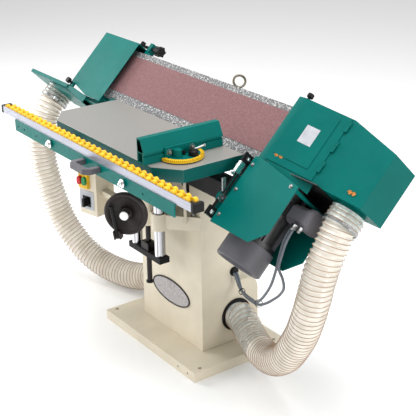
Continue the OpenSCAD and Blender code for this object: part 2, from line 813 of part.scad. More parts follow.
module drive_housing() {
    t = 2.5;
    chamfer_x = 663;
    chamfer_z = 211;
    chamfer = [[chamfer_x, house_high], [house_x2 + 1, chamfer_z], [house_x2 + 1, house_high + 1],
        [chamfer_x, house_high + 1]];
    inner = [[chamfer_x - 1, house_high - t], [house_x2 - t, chamfer_z - t],
        [house_x2 + 1, chamfer_z - t], [house_x2 + 1, house_high + 1],
        [chamfer_x - 1, house_high + 1]];
    color([0.0, 0.36, 0.33]) on_head() difference() {
        union() {
            difference() {
                floor_plate(house_low, house_high, house_outline(0));
                difference() {
                    floor_plate(house_low + t, house_high - t, house_outline(t));
                    front_plate(house_y1 - 5, house_back + 5, inner);
                }
                front_plate(house_y1 - 5, house_back + 5, chamfer);
            }
            rod_z(house_low - 30, house_low + t, port_right[0], port_right[1], neck_r);
            // skirt below the front, down to the motor guard
            intersection() {
                front_plate(house_y1 - 5, 40, [[490, house_low + 1], [662, house_low + 1],
                    [664, -10], [490, house_low - 4]]);
                difference() {
                    floor_plate(-12, house_low + 1, house_outline(0));
                    floor_plate(-13, house_low + 2, house_outline(t));
                }
            }
            on_door() for (span = hinge_spans) {
                rod_z(span[1] + gap, span[1] + 14, door_w, hinge_y, hinge_r);
                block([door_w, hinge_y, span[1] + gap], [door_w + 4, 1, span[1] + 14]);
                rod_z(span[0], span[1] + 2, door_w, hinge_y, hinge_pin_r);
            }
        }
        // way in for the belt and the platen
        block([house_x0 - 1, -4, house_low + t], [house_x0 + t + 1, 157, 236]);
        // door opening, motor flange hole and dust port
        intersection() {
            block([482, -40, 34], [650, 30, 248]);
            floor_plate(0, 300, house_outline(-6));
        }
        rod_z(house_low - 1, house_low + t + 1, drive_x, drum_y, 50);
        rod_z(house_low - 31, house_low + t + 1, port_right[0], port_right[1], neck_r - 3);
    }
}

// places parts drawn flat on the housing's sloping front
module on_door() {
    translate([477, house_y1 + 2 * slope, 0]) rotate([0, 0, atan(slope)]) children();
}
door_w = (door_x - 477) / cos(atan(slope));

// door in the sloping front face, hinged along its right edge
module housing_door() {
    color([0.0, 0.34, 0.31]) on_head() on_door() difference() {
        union() {
            block([0, -2.8, 30], [door_w - 5, -0.4, 251]);
            block([14, -5, 56], [door_w - 38, -2.8, 233]);
            for (span = hinge_spans) {
                rod_z(span[0], span[1], door_w, hinge_y, hinge_r);
                block([door_w - 7, hinge_y - hinge_r, span[0]], [door_w, -0.4, span[1]]);
            }
        }
        for (span = hinge_spans)
            rod_z(span[0] - 1, span[1] + 1, door_w, hinge_y, hinge_pin_r + fit);
    }
}

module motor_body() {
    color([0.07, 0.07, 0.07]) on_head() difference() {
        union() {
            rod_z(12, house_low, drive_x, drum_y, 74);
            rod_z(-206, 12, drive_x, drum_y, 60);
            // fins, left out where the terminal box stands
            for (i = [4 : 32]) translate([drive_x, drum_y, -190]) rotate([0, 0, i * 10])
                block([58, -1.6, 0], [69, 1.6, 186]);
            block([drive_x, drum_y - 24, -90], [594, drum_y + 24, -40]);
            rod_z(-206, -190, drive_x, drum_y, 70);
        }
        rod_z(-50, house_low + 1, drive_x, drum_y, 12 + fit);
    }
}

// fan cowl at the motor's lower end
module motor_cowl() {
    color([0.33, 0.32, 0.33]) on_head() translate([drive_x, drum_y, -286]) difference() {
        rotate_extrude($fn = 80) polygon([[0, 12], [62, 12], [66, 1], [72, 0], [77, 5], [77, 80],
            [73.5, 80], [73.5, 16], [0, 16]]);
        for (r = [16, 30, 44]) translate([0, 0, 10]) difference() {
            cylinder(h = 8, r = r + 4);
            translate([0, 0, -1]) cylinder(h = 10, r = r - 4);
            for (a = [0 : 45 : 135]) rotate([0, 0, a]) block([-60, -3, -2], [60, 3, 12]);
        }
    }
}

module terminal_box() {
    color([0.22, 0.22, 0.23]) on_head() {
        block([594, drum_y - 28, -92], [604, drum_y + 28, -38]);
        floor_plate(-97, -33, [[604, drum_y - 26], [612, drum_y - 34], [680, drum_y - 34],
            [680, drum_y + 34], [612, drum_y + 34], [604, drum_y + 26]]);
        rod_z(-115, -97, 645, drum_y - 8, 11);
        rod_z(-115, -97, 672, drum_y - 8, 7);
    }
}

// two guard plates tied by three spacers, on both sides of the motor
module motor_guards() {
    outline = [[437, house_low], [469, house_low], [666, -12], [670, -173], [618, -223], [432, -220]];
    color([0.0, 0.42, 0.4]) on_head() {
        front_plate(-guard_front - 1.5, -guard_front + 1.5, outline);
        front_plate(guard_back - 3, guard_back, outline);
        for (z = [-6, -97, -188]) rod_y(-guard_front + 1.5, guard_back - 3, 449, z, 6);
        rod_y(-guard_front + 1.5, guard_back - 3, 640, -20, 6);
    }
}

module tilt_lever() {
    color([0.72, 0.73, 0.76]) on_head() {
        rod_x(416.3, 424, -20, -139, 13);
        translate([417, -20, -139]) rotate([45, 0, 0]) block([0, -6, 8], [6, 6, 70]);
    }
}

module head_fasteners() {
    color([0.7, 0.68, 0.64]) on_head() {
        // lifting eye on the frame's top
        translate([97, 25, 253]) rotate([0, 0, 49]) rotate([90, 0, 0]) rotate_extrude()
            translate([20, 0]) circle(r = 4);
        rod_z(platen_high, 231, 97, 25, 8);
        for (z = [-6, -97, -188]) translate([449, -guard_front - 1.5, z]) rotate([90, 0, 0])
            bolt_head(4);
    }
    color([0.06, 0.06, 0.06]) on_head() {
        rod_z(house_high, house_high + 10, 470, -10, 5);
        rod_z(house_high + 10, house_high + 24, 470, -10, 11);
        rod_y(-42, -29, -676, 2, 4);
        rod_y(-55, -42, -676, 2, 11);
    }
}

module rear_guard() {
    color([0.0, 0.34, 0.31]) on_head() {
        block([-440, 158, 26], [440, 160.5, 236]);
        block([-400, 130, 26], [400, 158, 28.5]);
        block([-400, 130, 221.5], [400, 158, 224]);
    }
}

// ---- hoses and cables ----

module dust_hose_left() {
    color([0.86, 0.84, 0.78]) tube(left_route, hose_r, 12);
}

module dust_hose_right() {
    color([0.86, 0.84, 0.78]) tube(right_route, hose_r, 12);
}

module power_cable() {
    color([0.4, 0.42, 0.45]) tube(power_route, cable_r, 8);
}

module brake_cable() {
    color([0.4, 0.42, 0.45]) tube(brake_route, cable_r, 8);
}

base_plate();
pedestal();
rear_cover();
badge();
dust_manifold();
hose_flanges();
cable_grommet();
trunnion_beam();
control_box();
switch_body();
lift_bracket();
stand_fasteners();
start_button();
stop_button();
selector_knob();
handwheel();
handwheel_shaft();
crank_handle();
lead_screw();
table_top();
guide_posts();
lift_crossbar();
lead_nut();
rail_guides();
height_rod();
rail_lock_knob();
gauge_base();
gauge_head();
gauge_fence();
gauge_lever();
rail_channel();
rail_rollers();
rail_end_caps();
rail_flange();
pull_handle();
rail_slide_bars();
head_frame();
platen();
platen_cloth();
sanding_belt();
drive_drum();
idler_drum();
idler_carriage();
tension_knob();
tracking_knob();
idler_cover();
end_table();
drive_housing();
housing_door();
motor_body();
motor_cowl();
terminal_box();
motor_guards();
tilt_lever();
head_fasteners();
rear_guard();
dust_hose_left();
dust_hose_right();
power_cable();
brake_cable();
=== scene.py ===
"""The looks of a pedestal edge sander with a tilting head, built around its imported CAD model."""
import json
import math
import bpy
import bmesh
from mathutils import Matrix, Vector


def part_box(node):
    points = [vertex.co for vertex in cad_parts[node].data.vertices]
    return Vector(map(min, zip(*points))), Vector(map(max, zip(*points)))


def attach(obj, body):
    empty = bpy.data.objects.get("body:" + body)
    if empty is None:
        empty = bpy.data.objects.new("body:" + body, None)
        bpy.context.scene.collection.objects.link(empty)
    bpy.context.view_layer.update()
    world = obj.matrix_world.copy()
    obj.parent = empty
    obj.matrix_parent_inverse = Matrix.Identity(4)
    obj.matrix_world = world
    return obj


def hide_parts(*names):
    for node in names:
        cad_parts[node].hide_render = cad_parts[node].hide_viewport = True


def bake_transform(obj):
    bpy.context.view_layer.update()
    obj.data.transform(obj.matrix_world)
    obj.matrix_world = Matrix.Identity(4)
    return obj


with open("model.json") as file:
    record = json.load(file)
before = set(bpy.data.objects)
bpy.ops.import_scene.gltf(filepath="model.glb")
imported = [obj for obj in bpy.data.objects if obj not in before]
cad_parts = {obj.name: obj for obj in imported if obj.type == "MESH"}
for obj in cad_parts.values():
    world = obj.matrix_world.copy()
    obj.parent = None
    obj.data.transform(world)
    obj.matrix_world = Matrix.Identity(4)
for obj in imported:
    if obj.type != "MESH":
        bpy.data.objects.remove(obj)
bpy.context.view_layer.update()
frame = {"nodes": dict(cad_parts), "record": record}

JOINTS = {j["name"]: j for j in frame["record"]["behaviour"]["joints"]}
BODY_OF = {n: b for b, ns in frame["record"]["behaviour"]["bodies"].items() for n in ns}
SLOT_OF = {s["node"]: s["material_slot"] for s in frame["record"]["subparts"]}
MM = 0.001
TABLE_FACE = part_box("table_top")[1][2]  # metres

# the head's own frame: x along the belt, y behind its face, z up along its width
PIVOT = Vector(JOINTS["head_tilt"]["pos_m"])
HEAD = Matrix.Translation(PIVOT) @ Matrix.Rotation(math.radians(-45), 4, "X")


def box_mm(node):
    """A node's lowest and highest corners, in millimetres."""
    return tuple(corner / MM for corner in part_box(node))


def pose(x, y, z=0, turn=0, axis="Z"):
    """A matrix that turns by degrees, then moves."""
    return Matrix.Translation((x, y, z)) @ Matrix.Rotation(math.radians(turn), 4, axis)


# ---- camera, lights and floor ----

def add_camera():
    azimuth, elevation, roll = (math.radians(a) for a in (54.2146, 22.6256, -0.762))
    back = -Vector((-math.sin(azimuth) * math.cos(elevation),
                    math.cos(azimuth) * math.cos(elevation), -math.sin(elevation)))
    level = Vector((math.cos(azimuth), math.sin(azimuth), 0))
    upright = back.cross(level)
    right = math.cos(roll) * level + math.sin(roll) * upright
    up = math.cos(roll) * upright - math.sin(roll) * level
    data = bpy.data.cameras.new("camera")
    data.lens = 89.74
    data.sensor_width = 36
    camera = bpy.data.objects.new("camera", data)
    place = Matrix((right, up, back)).transposed().to_4x4()
    place.translation = Vector((2.7658, -1.919, 1.9))
    camera.matrix_world = place
    bpy.context.scene.collection.objects.link(camera)
    bpy.context.scene.camera = camera


def add_softbox(name, place, aim, size, power):
    data = bpy.data.lights.new(name, "AREA")
    data.shape = "RECTANGLE"
    data.size, data.size_y = size
    data.energy = power
    light = bpy.data.objects.new(name, data)
    light.location = place
    light.rotation_euler = (Vector(aim) - Vector(place)).to_track_quat("-Z", "Y").to_euler()
    bpy.context.scene.collection.objects.link(light)


def add_studio():
    bpy.context.scene.view_settings.view_transform = "Standard"
    world = bpy.data.worlds.new("studio")
    world.use_nodes = True
    background = world.node_tree.nodes["Background"]
    background.inputs["Color"].default_value = (1, 1, 1, 1)
    background.inputs["Strength"].default_value = 0.6
    bpy.context.scene.world = world
    for name, place, size, power in (("left", (-3.4, -1.7, 1.9), (1.8, 2.6), 95),
                                     ("front", (-0.2, -4.2, 2.2), (2.6, 1.6), 36),
                                     ("right", (4.4, 0.6, 1.7), (1.6, 2.2), 70),
                                     ("top", (0.2, 0.3, 4.2), (3.4, 2.6), 150)):
        add_softbox(name, place, (0, 0, 0.5), size, power)
    mesh = bpy.data.meshes.new("floor")
    half = 14
    mesh.from_pydata([(-half, -half, 0), (half, -half, 0), (half, half, 0), (-half, half, 0)],
                     [], [(0, 1, 2, 3)])
    floor = bpy.data.objects.new("floor", mesh)
    bpy.context.scene.collection.objects.link(floor)
    paint = bpy.data.materials.new("floor")
    paint.use_nodes = True
    shader = paint.node_tree.nodes["Principled BSDF"]
    shader.inputs["Base Color"].default_value = (0.97, 0.97, 0.97, 1)
    shader.inputs["Roughness"].default_value = 0.8
    mesh.materials.append(paint)


# ---- materials ----

def linear(r, g, b):
    """A colour given as 0 to 255 values on screen."""
    return tuple(((c / 255 + 0.055) / 1.055) ** 2.4 if c > 10 else c / 255 / 12.92
                 for c in (r, g, b))


class Nodes:
    """A material's node tree, with short calls for the nodes used here."""

    def __init__(self, name):
        self.material = bpy.data.materials.new(name)
        self.material.use_nodes = True
        self.tree = self.material.node_tree
        self.shader = self.tree.nodes["Principled BSDF"]
        self.place = self.tree.nodes.new("ShaderNodeTexCoord").outputs["Object"]

    def set(self, **values):
        for name, value in values.items():
            self.shader.inputs[SOCKETS[name]].default_value = value

    def link(self, source, target):
        self.tree.links.new(source, target)

    def noise(self, scale, detail=3.0, stretch=(1, 1, 1), rough=0.5):
        move = self.tree.nodes.new("ShaderNodeMapping")
        move.inputs["Scale"].default_value = stretch
        self.link(self.place, move.inputs["Vector"])
        node = self.tree.nodes.new("ShaderNodeTexNoise")
        node.inputs["Scale"].default_value = scale
        node.inputs["Detail"].default_value = detail
        node.inputs["Roughness"].default_value = rough
        self.link(move.outputs["Vector"], node.inputs["Vector"])
        return node.outputs["Fac"]

    def ramp(self, value, stops):
        node = self.tree.nodes.new("ShaderNodeValToRGB")
        while len(node.color_ramp.elements) < len(stops):
            node.color_ramp.elements.new(0.5)
        for element, (at, colour) in zip(node.color_ramp.elements, stops):
            element.position = at
            element.color = (*colour, 1)
        self.link(value, node.inputs["Fac"])
        return node.outputs["Color"]

    def between(self, value, low, high, start=0.3, end=0.7):
        node = self.tree.nodes.new("ShaderNodeMapRange")
        for socket, number in zip(("From Min", "From Max", "To Min", "To Max"),
                                  (start, end, low, high)):
            node.inputs[socket].default_value = number
        self.link(value, node.inputs["Value"])
        return node.outputs["Result"]

    def bump(self, height, strength, depth):
        node = self.tree.nodes.new("ShaderNodeBump")
        node.inputs["Strength"].default_value = strength
        node.inputs["Distance"].default_value = depth
        self.link(height, node.inputs["Height"])
        self.link(node.outputs["Normal"], self.shader.inputs["Normal"])


SOCKETS = {"specular": "Specular IOR Level", "coat": "Coat Weight",
           "coat_rough": "Coat Roughness", "sheen": "Sheen Weight", "metallic": "Metallic",
           "roughness": "Roughness"}


def shade(colour, by):
    return tuple(min(1.0, c * by) for c in colour)


def enamel(name, colour, rough=0.36, peel=0.25, specular=0.1):
    """Sprayed machine paint: a faint orange peel, and slightly uneven gloss."""
    n = Nodes(name)
    n.link(n.ramp(n.noise(7, 4), [(0.3, shade(colour, 0.9)), (0.7, shade(colour, 1.06))]),
           n.shader.inputs["Base Color"])
    n.link(n.between(n.noise(38, 5), rough - 0.05, rough + 0.08), n.shader.inputs["Roughness"])
    n.bump(n.noise(420, 2), peel, 0.00035)
    n.set(specular=specular)
    return n.material


def metal(name, colour, rough, grain=(1, 1, 1), scale=300):
    """Bare metal with a machined or plated grain."""
    n = Nodes(name)
    fine = n.noise(scale, 4, grain)
    n.link(n.ramp(fine, [(0.3, shade(colour, 0.86)), (0.7, shade(colour, 1.1))]),
           n.shader.inputs["Base Color"])
    n.link(n.between(n.noise(scale * 0.3, 4, grain), rough * 0.75, rough * 1.3),
           n.shader.inputs["Roughness"])
    n.bump(fine, 0.15, 0.0002)
    n.set(metallic=1.0)
    return n.material


def plastic(name, colour, rough, specular=0.35):
    """Moulded plastic or rubber with a fine texture."""
    n = Nodes(name)
    n.link(n.ramp(n.noise(30, 4), [(0.3, shade(colour, 0.85)), (0.7, shade(colour, 1.1))]),
           n.shader.inputs["Base Color"])
    n.link(n.between(n.noise(60, 3), rough - 0.06, rough + 0.08), n.shader.inputs["Roughness"])
    n.bump(n.noise(700, 2), 0.2, 0.0003)
    n.set(specular=specular)
    return n.material


def chrome(name):
    """Polished plate with painted reflections: bright and dark stripes in its colour, following
    the way the surface faces.
    """
    n = Nodes(name)
    split = n.tree.nodes.new("ShaderNodeSeparateXYZ")
    n.link(n.tree.nodes.new("ShaderNodeNewGeometry").outputs["Normal"], split.inputs["Vector"])
    # painted reflection: the colour steps between bright and dark as the surface turns
    reflection_bands = [(0.0, 0.72), (0.22, 0.86), (0.34, 0.16), (0.46, 0.78), (0.62, 0.9), (0.74, 0.2),
             (0.84, 0.66), (1.0, 0.3)]
    n.link(n.ramp(n.between(split.outputs["X"], 0, 1, -1, 1), [(at, (v, v, v * 1.04))
                                                               for at, v in reflection_bands]),
           n.shader.inputs["Base Color"])
    n.link(n.between(n.noise(60, 3), 0.12, 0.22), n.shader.inputs["Roughness"])
    n.set(metallic=1.0)
    return n.material


def grit(name, low, high, scale, depth):
    """Grains bonded on cloth."""
    n = Nodes(name)
    fine = n.noise(scale, 5, rough=0.7)
    n.link(n.ramp(fine, [(0.34, low), (0.5, shade(low, 1.3)), (0.66, high)]),
           n.shader.inputs["Base Color"])
    n.bump(fine, 0.8, depth)
    n.set(roughness=0.85, sheen=0.1)
    return n.material


def painted_casting(name, paint, bare, level, rough):
    """Painted all over, and ground bare above a level."""
    n = Nodes(name)
    split = n.tree.nodes.new("ShaderNodeSeparateXYZ")
    n.link(n.place, split.inputs["Vector"])
    above = n.between(split.outputs["Z"], 0, 1, level - 0.0002, level + 0.0002)
    mix = n.tree.nodes.new("ShaderNodeMix")
    mix.data_type = "RGBA"
    grain = n.noise(60, 5, (1, 22, 1))
    n.link(above, mix.inputs["Factor"])
    n.link(n.ramp(n.noise(7, 4), [(0.3, shade(paint, 0.9)), (0.7, shade(paint, 1.06))]),
           mix.inputs["A"])
    n.link(n.ramp(grain, [(0.3, shade(bare, 0.9)), (0.7, shade(bare, 1.06))]), mix.inputs["B"])
    n.link(mix.outputs["Result"], n.shader.inputs["Base Color"])
    n.link(n.between(above, 0.32, rough, 0, 1), n.shader.inputs["Roughness"])
    n.link(n.between(above, 0.0, 0.3, 0, 1), n.shader.inputs["Metallic"])
    n.bump(grain, 0.12, 0.0002)
    return n.material


def clear_film(name, colour, alpha):
    """Thin clear plastic."""
    n = Nodes(name)
    n.link(n.ramp(n.noise(30, 3), [(0.3, shade(colour, 0.9)), (0.7, colour)]),
           n.shader.inputs["Base Color"])
    n.link(n.between(n.noise(60, 3), alpha - 0.12, alpha + 0.12), n.shader.inputs["Alpha"])
    n.set(roughness=0.12, coat=0.8, coat_rough=0.05)
    return n.material


GREEN = linear(0, 98, 92)
CREAM = linear(216, 206, 185)
BLACK = linear(26, 26, 27)

TABLE_GROUND = 0.0012  # metres below the table's face where its paint starts

# the slots' materials, then those of pieces that differ from their slot
MATERIALS = {
    "cream_paint": enamel("cream_paint", CREAM, rough=0.38, specular=0.4),
    "green_paint": enamel("green_paint", GREEN),
    # teal_paint and pale_green_paint are the machine's one green made lighter: painted light on
    # the faces that catch more of it
    "teal_paint": enamel("teal_paint", shade(GREEN, 1.08)),
    "pale_green_paint": enamel("pale_green_paint", shade(GREEN, 1.15), rough=0.28),
    "black_paint": enamel("black_paint", BLACK, rough=0.42),
    "graphite_paint": enamel("graphite_paint", linear(84, 83, 88), rough=0.42, specular=0.4),
    "badge_plate": metal("badge_plate", linear(150, 148, 143), 0.35, (1, 12, 12), 200),
    # the table's painted sides use the machine's green made darker: painted shade
    "ground_iron": painted_casting("ground_iron", shade(GREEN, 0.75), linear(150, 148, 144),
                                   TABLE_FACE - TABLE_GROUND, 0.42),
    "chromed_steel": chrome("chromed_steel"),
    "zinc_steel": metal("zinc_steel", linear(166, 166, 166), 0.32),
    "dark_steel": metal("dark_steel", linear(52, 50, 50), 0.4),
    "rail_aluminium": metal("rail_aluminium", linear(176, 178, 188), 0.4, (0.1, 8, 8), 160),
    "yellow_plastic": plastic("yellow_plastic", linear(235, 185, 20), 0.4),
    "black_plastic": plastic("black_plastic", linear(17, 17, 18), 0.42, specular=0.2),
    "switch_yellow": plastic("switch_yellow", linear(232, 186, 40), 0.4),
    "green_button": plastic("green_button", linear(20, 130, 70), 0.3),
    "red_button": plastic("red_button", linear(190, 28, 28), 0.3),
    "wheel_iron": enamel("wheel_iron", linear(38, 31, 31), rough=0.36, specular=0.25),
    "abrasive_cloth": grit("abrasive_cloth", linear(104, 70, 72), linear(140, 104, 104), 260,
                           0.0004),
    "graphite_cloth": grit("graphite_cloth", linear(84, 84, 86), linear(215, 215, 212), 190,
                           0.0005),
    "drum_metal": metal("drum_metal", linear(170, 172, 176), 0.3, (1, 1, 14), 60),
    "motor_paint": enamel("motor_paint", linear(28, 28, 29), rough=0.4, peel=0.6, specular=0.7),
    "hose_plastic": plastic("hose_plastic", linear(232, 226, 212), 0.3),
    "cable_jacket": plastic("cable_jacket", linear(104, 110, 118), 0.5),
    # the terminal box in a grey lighter than its graphite paint: painted light, for its lit lid
    "lid_painted_light": enamel("lid_painted_light", linear(112, 110, 116), rough=0.4, specular=0.4),
    "eye_steel": metal("eye_steel", linear(120, 112, 98), 0.35),
    "bright_steel": metal("bright_steel", linear(240, 240, 240), 0.22),
    "copper": metal("copper", linear(214, 146, 84), 0.3),
    "pale_sheet": plastic("pale_sheet", linear(176, 178, 184), 0.5),
    "white_cap": plastic("white_cap", linear(246, 246, 244), 0.3),
    "mottled_plate": grit("mottled_plate", linear(146, 142, 142), linear(196, 192, 190), 200,
                          0.0003),
}


# ---- mesh helpers ----

SMOOTH = 32  # degrees between faces that still shade as one
ROUNDED = 50  # the same, on a piece whose edges are rounded
HARD_EDGE = 38  # degrees from which an edge is rounded


def finish_piece(obj, body, slot, replaces=(), angle=SMOOTH):
    """Shades a new piece, gives it its slot's material and puts it on its body."""
    mesh = obj.data
    mesh.polygons.foreach_set("use_smooth", [True] * len(mesh.polygons))
    mesh.set_sharp_from_angle(angle=math.radians(angle))
    if not mesh.materials:
        mesh.materials.append(MATERIALS[slot])
    if body:
        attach(obj, body)
    if replaces:
        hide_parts(*replaces)
    return obj


def new_object(name, verts, faces):
    mesh = bpy.data.meshes.new(name)
    mesh.from_pydata([tuple(v) for v in verts], [], faces)
    mesh.update()
    obj = bpy.data.objects.new(name, mesh)
    bpy.context.scene.collection.objects.link(obj)
    return obj


def apply_modifiers(obj):
    graph = bpy.context.evaluated_depsgraph_get()
    old = obj.data
    obj.data = bpy.data.meshes.new_from_object(obj.evaluated_get(graph))
    obj.modifiers.clear()
    bpy.data.meshes.remove(old)


def round_edges(obj, width):
    """Bevels the hard edges, and keeps the flat faces flat in the shading."""
    obj.data.polygons.foreach_set("use_smooth", [True] * len(obj.data.polygons))
    bevel = obj.modifiers.new("round", "BEVEL")
    bevel.width = width
    bevel.segments = 2
    bevel.limit_method = "ANGLE"
    bevel.angle_limit = math.radians(HARD_EDGE)
    bevel.miter_outer = "MITER_ARC"
    bevel.use_clamp_overlap = True
    weights = obj.modifiers.new("flat_faces", "WEIGHTED_NORMAL")
    weights.weight = 100
    apply_modifiers(obj)


def soften(node, width_mm):
    """A copy of a CAD node with its hard edges rounded, standing for it."""
    mesh = frame["nodes"][node].data.copy()
    mesh.name = node + "_soft"
    mesh.materials.clear()
    form = bmesh.new()
    form.from_mesh(mesh)
    bmesh.ops.remove_doubles(form, verts=form.verts, dist=2e-6)
    bmesh.ops.dissolve_limit(form, angle_limit=math.radians(1.0), verts=form.verts,
                             edges=form.edges)
    form.to_mesh(mesh)
    form.free()
    obj = bpy.data.objects.new(node + "_soft", mesh)
    bpy.context.scene.collection.objects.link(obj)
    round_edges(obj, width_mm * MM)
    return finish_piece(obj, BODY_OF[node], SLOT_OF[node], [node], ROUNDED)


def facing(point, way):
    """Turns +Z to a direction, at a point."""
    return Matrix.Translation(point) @ Vector((0, 0, 1)).rotation_difference(
        Vector(way)).to_matrix().to_4x4()


class Form:
    """Solids gathered into one mesh, drawn in millimetres."""

    def __init__(self, at=Matrix.Identity(4)):
        self.at, self.verts, self.faces = at @ Matrix.Scale(MM, 4), [], []

    def add(self, points, faces, turn):
        base, place = len(self.verts), self.at @ turn if turn else self.at
        self.verts += [place @ Vector(p) for p in points]
        self.faces += [tuple(base + i for i in f) for f in faces]

    def turned(self, profile, turn=None, sides=32):
        """A closed outline of (radius, height) points, turned round Z."""
        n = len(profile)
        points = [(r * math.cos(2 * math.pi * k / sides), r * math.sin(2 * math.pi * k / sides), z)
                  for k in range(sides) for r, z in profile]
        self.add(points, [(k * n + i, (k + 1) % sides * n + i, (k + 1) % sides * n + (i + 1) % n,
                           k * n + (i + 1) % n) for k in range(sides) for i in range(n)], turn)

    def prism(self, outline, low, high, turn=None):
        n = len(outline)
        points = [(x, y, z) for z in (low, high) for x, y in outline]
        self.add(points, [tuple(reversed(range(n))), tuple(range(n, 2 * n))]
                 + [(i, (i + 1) % n, n + (i + 1) % n, n + i) for i in range(n)], turn)

    def block(self, low, high, turn=None):
        self.prism([(low[0], low[1]), (high[0], low[1]), (high[0], high[1]), (low[0], high[1])],
                   low[2], high[2], turn)

    def rod(self, start, end, r, sides=24):
        way = Vector(end) - Vector(start)
        self.turned([(0, 0), (r, 0), (r, way.length), (0, way.length)], facing(start, way), sides)

    def bolt(self, point, way, r):
        """Hexagon head with a washer."""
        turn = facing(point, way)
        self.turned([(0, 0), (r * 1.5, 0), (r * 1.5, 1.4), (0, 1.4)], turn)
        self.turned([(0, 1.4), (r, 1.4), (r, 1.4 + r * 0.7), (r * 0.8, 1.4 + r * 0.85),
                     (0, 1.4 + r * 0.85)], turn, 6)

    def make(self, name, body, slot, material=None, replaces=(), bevel=0.0, angle=SMOOTH):
        """The finished piece; material names one of MATERIALS, when it isn't the slot's."""
        obj = new_object(name, self.verts, self.faces)
        form = bmesh.new()
        form.from_mesh(obj.data)
        bmesh.ops.remove_doubles(form, verts=form.verts, dist=1e-6)
        bmesh.ops.dissolve_degenerate(form, dist=1e-6, edges=form.edges)
        bmesh.ops.recalc_face_normals(form, faces=form.faces)
        form.to_mesh(obj.data)
        form.free()
        if bevel:
            round_edges(obj, bevel * MM)
            angle = max(angle, ROUNDED)
        obj.data.materials.append(MATERIALS[material or slot])
        return finish_piece(obj, body, slot, replaces, angle)


# ---- dust hoses and cables ----

# metres, unlike the fittings; each route runs from the head to the stand
HOSE_R = 0.054
RIB_PITCH = 0.0165
RIB_DEPTH = 0.0052
WIRE_SUNK = 0.0016
WIRE_SMOOTH = 80  # degrees, so that a five-sided wire shades as round
CLEAR_LENGTH = 0.20
CABLE_R = 0.0045
RIGHT_ROUTE = [(0.758, 0.0185, 0.7095), (0.758, 0.0015, 0.6925), (0.755, -0.018, 0.658),
               (0.750, -0.042, 0.604), (0.739, -0.058, 0.538), (0.727, -0.066, 0.465),
               (0.704, -0.066, 0.390), (0.664, -0.058, 0.305), (0.596, -0.042, 0.208),
               (0.548, -0.031, 0.161), (0.494, -0.018, 0.124), (0.435, -0.003, 0.104),
               (0.377, 0.011, 0.100), (0.320, 0.029, 0.104), (0.273, 0.043, 0.116),
               (0.240, 0.051, 0.131), (0.212, 0.054, 0.141), (0.195, 0.054, 0.141)]
LEFT_ROUTE = [(-0.845, -0.0645, 0.7128), (-0.845, -0.0815, 0.6958), (-0.845, -0.105, 0.665),
              (-0.846, -0.125, 0.615), (-0.845, -0.137, 0.555), (-0.838, -0.141, 0.488),
              (-0.818, -0.138, 0.410), (-0.790, -0.130, 0.325), (-0.757, -0.115, 0.243),
              (-0.710, -0.095, 0.174), (-0.650, -0.070, 0.115), (-0.575, -0.040, 0.076),
              (-0.483, -0.010, 0.063), (-0.420, 0.008, 0.067), (-0.370, 0.023, 0.078),
              (-0.320, 0.036, 0.094), (-0.272, 0.048, 0.117), (-0.240, 0.053, 0.135),
              (-0.212, 0.054, 0.141), (-0.195, 0.054, 0.141)]
POWER_ROUTE = [(0.640, -0.088, 0.663), (0.640, -0.100, 0.651), (0.637, -0.113, 0.625),
               (0.626, -0.117, 0.580), (0.605, -0.112, 0.524), (0.558, -0.092, 0.448),
               (0.483, -0.058, 0.368), (0.398, -0.018, 0.298), (0.345, 0.002, 0.280),
               (0.290, 0.020, 0.268), (0.250, 0.030, 0.267), (0.222, 0.038, 0.278),
               (0.206, 0.040, 0.298), (0.196, 0.040, 0.308)]
BRAKE_ROUTE = [(0.650, -0.088, 0.663), (0.650, -0.100, 0.651), (0.647, -0.113, 0.625),
               (0.637, -0.119, 0.582), (0.622, -0.116, 0.538), (0.628, -0.105, 0.500),
               (0.614, -0.088, 0.458), (0.576, -0.071, 0.415), (0.521, -0.048, 0.370),
               (0.449, -0.022, 0.316), (0.385, -0.004, 0.279), (0.320, 0.014, 0.263),
               (0.262, 0.032, 0.256), (0.228, 0.046, 0.262), (0.208, 0.052, 0.290),
               (0.196, 0.052, 0.308)]


def smooth_path(route, step):
    """The route as a Catmull-Rom curve, in even steps."""
    points = [Vector(p) for p in route]
    points = [2 * points[0] - points[1]] + points + [2 * points[-1] - points[-2]]
    dense = []
    for a, b, c, d in zip(points, points[1:], points[2:], points[3:]):
        for k in range(24):
            t = k / 24
            dense.append(0.5 * (2 * b + (c - a) * t + (2 * a - 5 * b + 4 * c - d) * t * t
                                + (3 * b - a - 3 * c + d) * t ** 3))
    dense.append(points[-2])
    lengths = [0.0]
    for a, b in zip(dense, dense[1:]):
        lengths.append(lengths[-1] + (b - a).length)
    count = max(2, round(lengths[-1] / step))
    path, k = [], 0
    for i in range(count + 1):
        s = lengths[-1] * i / count
        while k < len(dense) - 2 and lengths[k + 1] < s:
            k += 1
        share = (s - lengths[k]) / max(1e-9, lengths[k + 1] - lengths[k])
        path.append(dense[k].lerp(dense[k + 1], min(1.0, share)))
    return path, lengths[-1]


def frames_along(path):
    """(point, side, up) along the path, with no twist between neighbours."""
    found, side = [], None
    for i, p in enumerate(path):
        way = (path[min(i + 1, len(path) - 1)] - path[max(i - 1, 0)]).normalized()
        if side is None:
            side = way.cross(Vector((0.1, 1, 0.05))).normalized()
        side = (side - way * side.dot(way)).normalized()
        found.append((p, side, way.cross(side)))
    return found


def sweep(name, path, radius, sides):
    """A tube along the path; radius is a number or a function of distance and angle."""
    verts, faces, s = [], [], 0.0
    rings = frames_along(path)
    for i, (p, side, up) in enumerate(rings):
        if i:
            s += (p - rings[i - 1][0]).length
        for k in range(sides):
            turn = 2 * math.pi * k / sides
            r = radius(s, turn) if callable(radius) else radius
            verts.append(p + side * (r * math.cos(turn)) + up * (r * math.sin(turn)))
    for i in range(len(rings) - 1):
        for k in range(sides):
            m = (k + 1) % sides
            faces.append((i * sides + k, i * sides + m, (i + 1) * sides + m, (i + 1) * sides + k))
    faces.append(tuple(reversed(range(sides))))
    faces.append(tuple(range((len(rings) - 1) * sides, len(rings) * sides)))
    return new_object(name, verts, faces)


